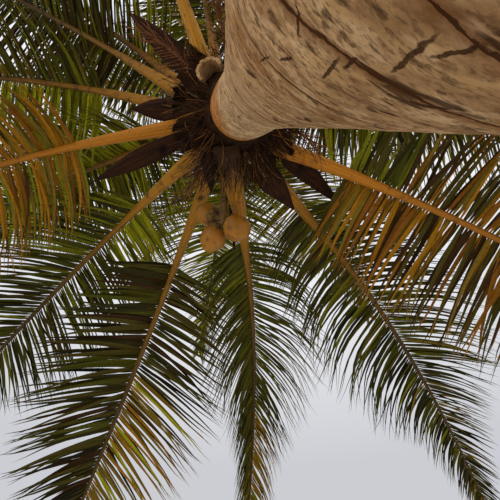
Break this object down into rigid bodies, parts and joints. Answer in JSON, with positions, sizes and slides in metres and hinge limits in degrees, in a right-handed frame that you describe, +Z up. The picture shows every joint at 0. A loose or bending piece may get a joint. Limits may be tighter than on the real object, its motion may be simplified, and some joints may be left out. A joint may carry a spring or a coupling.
{
  "type": "coconut palm tree",
  "caption": "Leaning young coconut palm with ringed bark, a fibrous heart, arching feather fronds, dry spathes and orange nuts, fixed at its flat cut foot.",
  "frame": {"origin": "middle of the trunk's flat cut at ground level", "axes": "+Z up, the trunk leans towards +Y and slightly towards -X"},
  "size_m": [8.1326, 8.1892, 8.0334],
  "materials": {
    "bark": "matt ringed bark",
    "fibre": "matt brown fibre",
    "frond_gold": "satin leaf",
    "frond_green": "satin leaf",
    "frond_olive": "satin leaf",
    "husk": "matt dry husk",
    "stub": "matt cut leaf base",
    "nut": "satin rind",
    "twig": "matt dry stalk"
  },
  "bodies": {
    "root": {"crown_heart": "fibre", "cut_leaf_base": "stub", "cut_stalk_1": "stub", "cut_stalk_2": "stub", "cut_stalk_3": "stub", "flower_stalk_1": "twig", "flower_stalk_2": "twig", "flower_stalk_3": "twig", "flower_stalk_4": "twig", "frond_01": "frond_gold", "frond_02": "frond_olive", "frond_03": "frond_green", "frond_04": "frond_olive", "frond_05": "frond_olive", "frond_06": "frond_olive", "frond_07": "frond_gold", "frond_08": "frond_green", "frond_09": "frond_olive", "frond_10": "frond_green", "frond_11": "frond_green", "frond_12": "frond_green", "frond_13": "frond_gold", "frond_14": "frond_green", "frond_15": "frond_green", "frond_16": "frond_gold", "frond_17": "frond_green", "frond_18": "frond_green", "frond_19": "frond_gold", "frond_20": "frond_green", "frond_21": "frond_green", "frond_22": "frond_gold", "frond_23": "frond_green", "frond_24": "frond_green", "frond_25": "frond_gold", "frond_26": "frond_green", "frond_27": "frond_green", "frond_28": "frond_gold", "frond_29": "frond_green", "nut_bunch_1": "nut", "nut_bunch_2": "nut", "spathe_1": "husk", "spathe_2": "husk", "spathe_3": "husk", "spathe_4": "husk", "spathe_5": "husk", "spathe_6": "husk", "spathe_7": "husk", "spathe_8": "husk", "spathe_9": "husk", "spear_leaf": "frond_gold", "trunk": "bark"}
  },
  "joints": []
}
